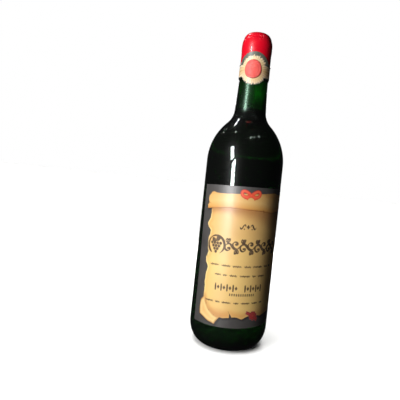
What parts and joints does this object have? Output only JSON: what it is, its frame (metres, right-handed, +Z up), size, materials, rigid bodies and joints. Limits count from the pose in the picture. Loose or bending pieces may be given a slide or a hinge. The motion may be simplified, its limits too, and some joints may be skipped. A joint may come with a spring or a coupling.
{
  "type": "wine bottle",
  "caption": "Tall round-shouldered green glass bottle of red wine, corked, with a red capsule, a round neck label with a wafer, and a wide main label.",
  "frame": {"origin": "middle of the ring the bottle stands on, at floor level", "axes": "+Z up along the bottle, -Y towards the middle of the main label"},
  "size_m": [0.0744, 0.075, 0.3],
  "materials": {
    "bottle_glass": "smooth moulded dark green glass",
    "red_wine": "still dark red liquid",
    "cork": "cut natural cork",
    "capsule_plastic": "shrunk crimson plastic, satin gloss",
    "label_paper": "printed paper, dark grey ground with a parchment field",
    "neck_label_paper": "printed paper, cream with a deckled edge",
    "wafer": "pressed coral wax wafer"
  },
  "bodies": {
    "root": {"glass_bottle": "bottle_glass", "wine": "red_wine", "cork": "cork", "capsule": "capsule_plastic", "main_label": "label_paper", "neck_label": "neck_label_paper", "neck_wafer": "wafer"}
  },
  "joints": []
}
